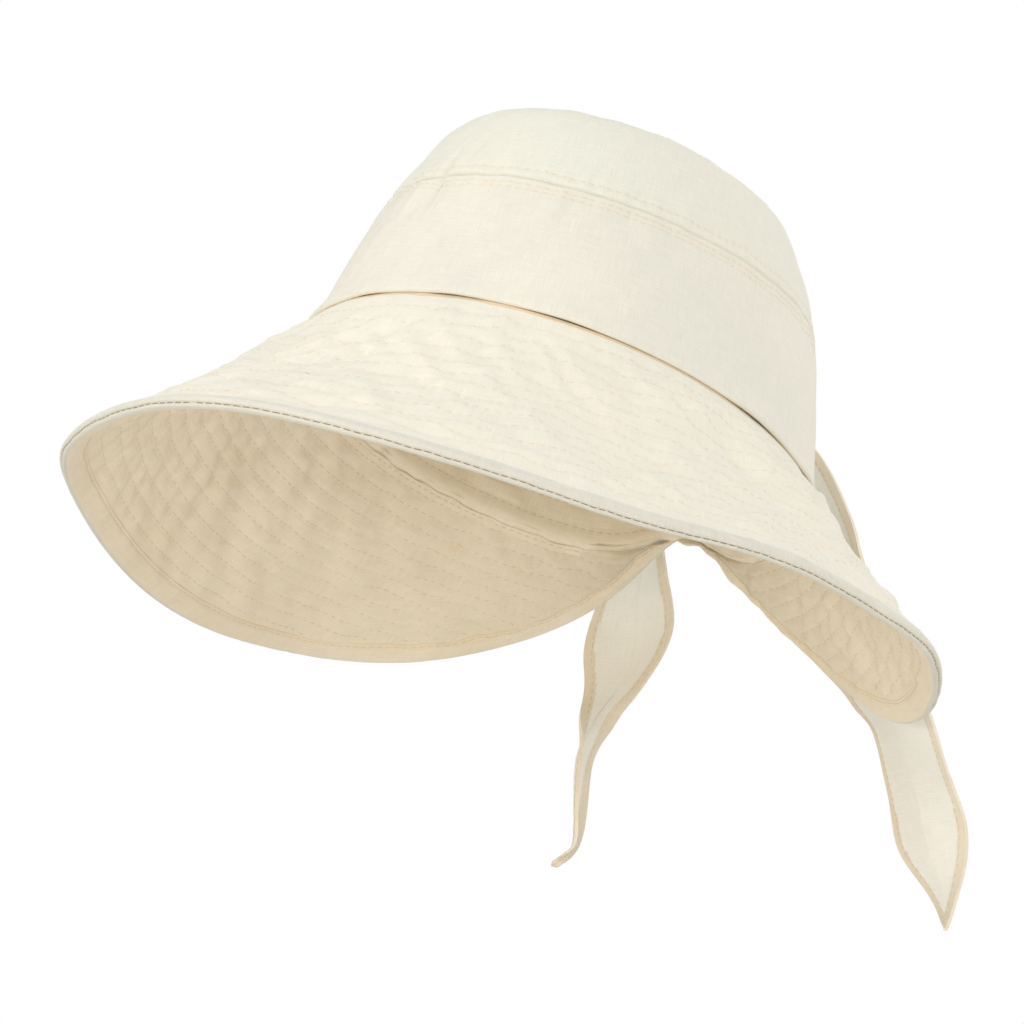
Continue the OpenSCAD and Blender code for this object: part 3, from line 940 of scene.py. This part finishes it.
deselect_all()
bpy.ops.mesh.primitive_uv_sphere_add(segments=96, ring_count=48, radius=1, rotation=(0, math.pi / 2, 0))
knot_core = bpy.context.object
knot_core.name = "knot_core"
bpy.ops.object.transform_apply(location=False, rotation=True, scale=False)
ball = read_points(knot_core)
x = np.sign(ball[:, 0]) * np.abs(ball[:, 0]) ** BARREL_POWER * KNOT_L / 2
round_angle = np.arctan2(ball[:, 2], ball[:, 1])
thick = np.sqrt(np.maximum(1 - ball[:, 0] ** 2, 0)) ** 0.5
pleat = np.abs(np.sin(round_angle * PLEATS / 2 + x * PLEAT_SLANT))
radius = (knot_radius(x) - UNDER_WRAP + PLEAT_H * pleat) * thick
laid = point(x, radius * np.cos(round_angle), radius * np.sin(round_angle)) + KNOT_AT
knot_core.data.vertices.foreach_set("co", (laid * MM).ravel())
knot_core.data.update()
smooth_shading(knot_core, degrees=70)


def knot_wrap_place(angle, across, lift):
    a = np.radians(angle)
    x = (across - 0.5) * WRAP_W + WRAP_SLANT * np.sin(a)
    edge = 1.3 * (bump(across, 0.09) + bump(across - 1, 0.09))
    folds = 0.5 * np.sin(across * 15 + 1.4 * np.sin(a)) + 0.3 * np.sin(across * 31 + 2 * a)
    r = knot_radius(x) + 0.6 - edge + folds + lift
    return point(x, r * np.cos(a), r * np.sin(a)) + KNOT_AT


knot_wrap = lay_cloth("knot_wrap", np.linspace(0, 360, 97), np.linspace(0, 1, 25), knot_wrap_place,
                      0.7, 66)

# %% [markdown]
# ## Cloth finishes
# The whole hat is one plain woven cotton in an unbleached ivory. Up close its threads differ in
# thickness, so short thick stretches, called slubs, run along and across it. From further off the
# colour drifts a little between warm and greenish white. Two node groups hold these effects, and
# each finish uses them with its own colours and strengths.

# %% Node helpers
def linear(red, green, blue):
    """A colour as it looks on a screen, as the linear values that a shader takes."""
    def one(value):
        value = value / 255
        return value / 12.92 if value <= 0.04045 else ((value + 0.055) / 1.055) ** 2.4
    return (one(red), one(green), one(blue), 1.0)


def new_group(name, inputs, outputs):
    group = bpy.data.node_groups.new(name, "ShaderNodeTree")
    for label, kind, value in inputs:
        socket = group.interface.new_socket(name=label, in_out="INPUT", socket_type=kind)
        if value is not None:
            socket.default_value = value
    for label, kind in outputs:
        group.interface.new_socket(name=label, in_out="OUTPUT", socket_type=kind)
    start = group.nodes.new("NodeGroupInput")
    end = group.nodes.new("NodeGroupOutput")
    return group, start.outputs, end.inputs


def add_node(tree, kind, inputs, **settings):
    """A node with its settings, whose inputs are sockets to link from or plain values."""
    node = tree.nodes.new(kind)
    for name, value in settings.items():
        setattr(node, name, value)
    for name, value in inputs.items():
        if isinstance(value, bpy.types.NodeSocket):
            tree.links.new(value, node.inputs[name])
        elif value is not None:
            node.inputs[name].default_value = value
    return node


def maths(tree, operation, a, b=None, c=None):
    """A Math node. Gives its output socket."""
    return add_node(tree, "ShaderNodeMath", {0: a, 1: b, 2: c}, operation=operation).outputs[0]


def noise(tree, vector, scale, detail, roughness=0.5):
    inputs = {"Detail": detail, "Roughness": roughness, "Scale": scale, "Vector": vector}
    return add_node(tree, "ShaderNodeTexNoise", inputs).outputs["Fac"]


def stretched(tree, vector, scale):
    inputs = {"Scale": scale, "Vector": vector}
    return add_node(tree, "ShaderNodeMapping", inputs).outputs["Vector"]


# %% Group: plain weave
WOBBLE_SCALE = 160
WOBBLE = 0.0006
SLUB_FINE, SLUB_LONG = 2200, 110  # how often the slubs change across a thread and along it
CROSSING = 0.35  # height of the threads' crossings beside the slubs'


def make_weave_group():
    group, given, result = new_group("plain weave", [
        ("Vector", "NodeSocketVector", None),
        ("Thread", "NodeSocketFloat", 0.0005),
        ("Slubs", "NodeSocketFloat", 1.0)],
        [("Height", "NodeSocketFloat"), ("Slub", "NodeSocketFloat")])
    wobble = noise(group, given["Vector"], WOBBLE_SCALE, 2)
    split = add_node(group, "ShaderNodeSeparateXYZ", {0: given["Vector"]})
    turns = maths(group, "DIVIDE", 2 * math.pi, given["Thread"])
    waves = []
    for axis in (0, 1):
        bent = maths(group, "MULTIPLY_ADD", wobble, WOBBLE, split.outputs[axis])
        waves.append(maths(group, "SINE", maths(group, "MULTIPLY", bent, turns)))
    crossing = maths(group, "MULTIPLY", waves[0], waves[1])
    warp = noise(group, stretched(group, given["Vector"], (SLUB_FINE, SLUB_LONG, 1)), 1, 2)
    weft = noise(group, stretched(group, given["Vector"], (SLUB_LONG, SLUB_FINE, 1)), 1, 2)
    slub = maths(group, "SUBTRACT", maths(group, "ADD", warp, weft), 1.0)
    slub = maths(group, "MULTIPLY", slub, given["Slubs"])
    group.links.new(slub, result["Slub"])
    group.links.new(maths(group, "MULTIPLY_ADD", crossing, CROSSING, slub), result["Height"])
    return group


# %% Group: drifting colour
PATCH_SCALE = 18
PATCH_LOW, PATCH_HIGH = 0.38, 0.62


def make_drift_group():
    group, given, result = new_group("cloth colour", [
        ("Vector", "NodeSocketVector", None),
        ("Colour", "NodeSocketColor", (0.8, 0.8, 0.8, 1)),
        ("Drift", "NodeSocketColor", (0.8, 0.8, 0.7, 1)),
        ("Slub", "NodeSocketFloat", 0.0),
        ("Slub tone", "NodeSocketFloat", 0.1)],
        [("Colour", "NodeSocketColor")])
    patches = noise(group, given["Vector"], PATCH_SCALE, 3, 0.55)
    spread = add_node(group, "ShaderNodeMapRange",
                      {"From Min": PATCH_LOW, "From Max": PATCH_HIGH, "Value": patches})
    mixed = add_node(group, "ShaderNodeMix", {"Factor": spread.outputs["Result"],
                                              "A": given["Colour"], "B": given["Drift"]},
                     data_type="RGBA")
    tone = maths(group, "MULTIPLY_ADD", given["Slub"], given["Slub tone"], 1.0)
    shade = add_node(group, "ShaderNodeVectorMath", {0: mixed.outputs["Result"], "Scale": tone},
                     operation="SCALE")
    group.links.new(shade.outputs[0], result["Colour"])
    return group


weave_group = make_weave_group()
drift_group = make_drift_group()


# %% A cloth finish
DRY_CLOTH = {"Roughness": 0.9, "Specular IOR Level": 0.25, "Sheen Weight": 0.12, "Sheen Roughness": 0.5}
RELIEF_STRENGTH = 0.8


def cloth_finish(name, colour, drift, thread=0.0005, slubs=1.0, tone=0.1, relief=0.00012):
    """A woven cloth: weave and slubs on the flat cut, and a colour that drifts over the piece."""
    material = bpy.data.materials.new(name)
    material.use_nodes = True
    tree = material.node_tree
    shader = tree.nodes["Principled BSDF"]
    for label, value in DRY_CLOTH.items():
        shader.inputs[label].default_value = value
    where = tree.nodes.new("ShaderNodeTexCoord")
    weave = add_node(tree, "ShaderNodeGroup", {}, node_tree=weave_group)
    tint = add_node(tree, "ShaderNodeGroup", {}, node_tree=drift_group)
    own = [(weave, "Thread", thread), (weave, "Slubs", slubs), (tint, "Colour", linear(*colour)),
           (tint, "Drift", linear(*drift)), (tint, "Slub tone", tone)]
    for node, label, value in own:
        node.inputs[label].default_value = value
    raised = add_node(tree, "ShaderNodeBump", {"Distance": relief, "Strength": RELIEF_STRENGTH,
                                               "Height": weave.outputs["Height"]})
    tree.links.new(where.outputs["UV"], weave.inputs["Vector"])
    tree.links.new(where.outputs["Object"], tint.inputs["Vector"])
    tree.links.new(weave.outputs["Slub"], tint.inputs["Slub"])
    tree.links.new(tint.outputs["Colour"], shader.inputs["Base Color"])
    tree.links.new(raised.outputs["Normal"], shader.inputs["Normal"])
    return material


def wear(piece, material, other=None, where=None):
    """One finish all over, or another one where the flat cut's length says so."""
    piece.data.materials.clear()
    piece.data.materials.append(material)
    if other is not None:
        piece.data.materials.append(other)
        uv = piece.data.uv_layers[0].data
        for face in piece.data.polygons:
            lengths = [uv[i].uv[1] / MM for i in face.loop_indices]
            face.material_index = int(where(sum(lengths) / len(lengths)))


def wear_hem(piece, material):
    """Gives the faces that lie in a tie's hems their own finish, because the cloth is doubled there."""
    piece.data.materials.append(material)
    in_hem = np.array([sum(entry.weight for entry in vertex.groups) for vertex in piece.data.vertices])
    for face in piece.data.polygons:
        if in_hem[list(face.vertices)].mean() > HEM_SHARE:
            face.material_index = 1


# %% The hat's finishes
# width of the strip of painted warm shade on the brim, just beside the band's fold
UNDER_BAND_W = 0.8
HEM_SHARE = 0.6
crown_cloth = cloth_finish("crown cloth", (238, 235, 221), (236, 235, 221), tone=0.15)
band_cloth = cloth_finish("band cloth", (240, 235, 221), (235, 232, 219), tone=0.16)
brim_top_cloth = cloth_finish("brim upper cloth", (245, 239, 223), (239, 236, 222), tone=0.13)
# the same cotton as the top; its warmer beige is painted shade and warm bounce light under the brim
brim_under_cloth = cloth_finish("brim underside in painted warm shade", (248, 235, 211), (242, 228, 202), slubs=1.2,
                                tone=0.14)
binding_cloth = cloth_finish("binding cloth", (240, 236, 222), (235, 231, 218), thread=0.0008,
                             tone=0.16, relief=0.0004)
# the same cotton, made brighter as painted light because the hanging tails catch more light; the knot
# shares it
tie_cloth = cloth_finish("tie cloth raised by painted light", (253, 251, 243), (251, 248, 238), slubs=1.1, tone=0.12)
hem_cloth = cloth_finish("tie hem", (244, 233, 213), (239, 227, 205), slubs=1.1, tone=0.12)
# painted warm shade: the tone of the shadow under the band's fold, not a different cloth
fold_shade = cloth_finish("painted warm shade under the fold", (238, 214, 180), (233, 208, 172))
stiffener_felt = cloth_finish("stiffener felt", (236, 235, 230), (230, 229, 223), thread=0.0003,
                              slubs=0.4)
thread_finish = cloth_finish("sewing thread", (243, 227, 201), (238, 220, 192), thread=0.0004,
                             tone=0.12)
under_thread = cloth_finish("quilting thread below", (232, 211, 178), (226, 203, 168), thread=0.0004)
dark_thread = cloth_finish("binding thread", (164, 144, 114), (150, 130, 101), thread=0.0004, tone=0.2)
finishes = {
    crown_top_cloth: crown_cloth, crown_band_cloth: band_cloth, side_wall_cloth: band_cloth,
    # the sweatband and the underside take the finish with painted warm shade
    seam_tape_strip: stiffener_felt, sweatband_tape: brim_under_cloth, inside_threads: under_thread,
    seam_threads: thread_finish, brim_upper_cloth: brim_top_cloth, brim_lower_cloth: brim_under_cloth,
    brim_stiffener: stiffener_felt, quilting_upper: thread_finish, quilting_lower: under_thread,
    edge_binding: binding_cloth, binding_threads: dark_thread, hem_threads: under_thread,
    knot_core: tie_cloth, knot_wrap: tie_cloth,
}
for piece, material in finishes.items():
    wear(piece, material)
# the brim's upper cloth under the band, and a narrow strip beside the fold, get painted warm shade
wear(brim_upper_cloth, brim_top_cloth, fold_shade, lambda v: v < COLLAR + UNDER_BAND_W)
# the binding's lower face takes the underside's finish, with its painted warm shade
under_face_at = np.interp(UNDER_FACE_STEP, binding_steps,
                          lengths_along(binding_place, BRIM_RING, binding_steps))
wear(edge_binding, binding_cloth, brim_under_cloth, lambda v: v > under_face_at)
for cloth, threads, _ in tie_pieces.values():
    wear(cloth, tie_cloth)
    wear_hem(cloth, hem_cloth)
    wear(threads, under_thread)
print(len(bpy.data.materials), "materials")

# %% [markdown]
# ## What moves with what
# The sewn hat is one body. Each tie lifts at the knot, and its tail swings where it turns over the
# brim, but here the tie's two pieces are only set in place. Each new piece hides the plain CAD solid
# that it stands for, and the table lists the record's material slot for each.

# %% Ride and replace
hat_pieces = [
    (crown_top_cloth, "band_cloth", ["crown_top"]),
    (crown_band_cloth, "band_cloth", ["crown_band"]),
    (side_wall_cloth, "band_cloth", ["crown_side"]),
    (seam_tape_strip, "stiffener", ["seam_tape"]),
    (sweatband_tape, "sweatband_cloth", ["sweatband"]),
    (brim_upper_cloth, "brim_top_cloth", ["brim_upper"]),
    (brim_lower_cloth, "brim_under_cloth", ["brim_lower"]),
    (brim_stiffener, "stiffener", ["brim_interlining"]),
    (edge_binding, "binding_cloth", ["brim_binding"]),
    (knot_core, "tie_cloth", ["tie_knot"]),
    (knot_wrap, "tie_cloth", []),
    (seam_threads, "band_cloth", []),
    (inside_threads, "sweatband_cloth", []),
    (quilting_upper, "brim_top_cloth", []),
    (quilting_lower, "brim_under_cloth", []),
    (binding_threads, "binding_cloth", []),
    (hem_threads, "binding_cloth", []),
]
for piece, slot, nodes in hat_pieces:
    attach(piece, "hat")
    if nodes:
        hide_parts(*nodes)


def bend_between(name, place, first, last, nodes):
    """Bakes a tie piece and its threads into world space and hides the CAD solids they stand for. The
    points at the two steps along the tie are worked out but not used.
    """
    cloth, threads, flat = tie_pieces[name]
    start = place(np.array(0.5), np.array(first), 0.0) * MM
    end = place(np.array(0.5), np.array(last), 0.0) * MM
    for piece in (cloth, threads):
        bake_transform(piece)
    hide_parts(*nodes)


bend_between("left_tie_run", left_place, 0.05, 1.2, ["left_tie_upper"])
bend_between("left_tie_fall", left_place, LEFT_HINGE - 0.6, LEFT_HINGE + 0.8,
             ["left_tie_tail"])
bend_between("right_tie_run", right_place, 0.05, 1.2, ["right_tie_upper"])
bend_between("right_tie_fall", right_place, RIGHT_HINGE - 0.5,
             RIGHT_HINGE + 0.5, ["right_tie_tail"])
print(len(hat_pieces), "pieces ride on the hat, and", 2 * len(tie_pieces), "bend with the ties")

# %% [markdown]
# ## Studio
# The hat is lit as in a plain studio: a large soft light above and to one side, a fill light
# opposite, one behind, and an even pale surround. The brim's underside would be dark, so two low
# lights reach up under it. The surround is white to the camera only, so the background is white
# while the light on the hat stays plain. The hat is held up, so the floor lies well below it.

# %% Floor, lights and camera
FLOOR_Z = -0.8
WARM = (1.0, 0.99, 0.97)
WARMER = (1.0, 0.985, 0.96)
deselect_all()
bpy.ops.mesh.primitive_plane_add(size=12, location=(0, 0, FLOOR_Z))
floor = bpy.context.object
floor.name = "floor"
floor_material = bpy.data.materials.new("floor paper")
floor_material.use_nodes = True
floor_shader = floor_material.node_tree.nodes["Principled BSDF"]
floor_shader.inputs["Base Color"].default_value = linear(226, 223, 216)
floor_shader.inputs["Roughness"].default_value = 0.9
wear(floor, floor_material)


def area_light(name, place, size, power, colour=(1, 1, 1)):
    data = bpy.data.lights.new(name, "AREA")
    data.shape = "DISK"
    data.size = size
    data.energy = power
    data.color = colour
    lamp = bpy.data.objects.new(name, data)
    bpy.context.scene.collection.objects.link(lamp)
    lamp.location = place
    lamp.rotation_euler = (-Vector(place)).to_track_quat("-Z", "Y").to_euler()
    return lamp


area_light("key", (-0.9, -1.3, 1.9), size=1.2, power=8, colour=WARM)
area_light("low", (-1.2, -1.6, -0.35), size=1.0, power=9, colour=WARM)
area_light("fill", (1.9, -1.2, 0.4), size=1.6, power=9, colour=WARMER)
area_light("under", (1.0, -1.3, -0.62), size=0.8, power=5.5, colour=WARMER)
area_light("back", (0.4, 2.0, 1.3), size=1.4, power=12)

world = bpy.data.worlds.new("surround")
bpy.context.scene.world = world
world.use_nodes = True
tree = world.node_tree
surround = tree.nodes["Background"]
surround.inputs["Color"].default_value = (1, 1, 1, 1)
path = tree.nodes.new("ShaderNodeLightPath")
seen = maths(tree, "MAXIMUM", path.outputs["Is Camera Ray"], path.outputs["Is Glossy Ray"])
seen = maths(tree, "MAXIMUM", seen, path.outputs["Is Transmission Ray"])
SURROUND_LIGHT = 0.71
strength = maths(tree, "MULTIPLY_ADD", seen, 1 - SURROUND_LIGHT, SURROUND_LIGHT)
tree.links.new(strength, surround.inputs["Strength"])
bpy.context.scene.view_settings.view_transform = "Standard"

CAMERA = {"azimuth": 32.0, "elevation": -19.5, "roll": 16.33, "distance": 1.5,
          "aside": -0.0079, "up": -0.0291, "lens": 161.4}
az, el, roll = (math.radians(CAMERA[k]) for k in ("azimuth", "elevation", "roll"))
back = Vector((math.sin(az) * math.cos(el), -math.cos(az) * math.cos(el), math.sin(el)))
right = Vector((math.cos(az), math.sin(az), 0))
up = back.cross(right)
camera = bpy.data.objects.new("camera", bpy.data.cameras.new("camera"))
bpy.context.scene.collection.objects.link(camera)
camera.data.lens = CAMERA["lens"]
camera.data.sensor_width = 36
x_axis = right * math.cos(roll) + up * math.sin(roll)
y_axis = up * math.cos(roll) - right * math.sin(roll)
camera.matrix_world = Matrix.Translation(
    back * CAMERA["distance"] + right * CAMERA["aside"] + up * CAMERA["up"]
) @ Matrix((x_axis, y_axis, back)).transposed().to_4x4()
bpy.context.scene.camera = camera
print("camera at", [round(v, 3) for v in camera.location])
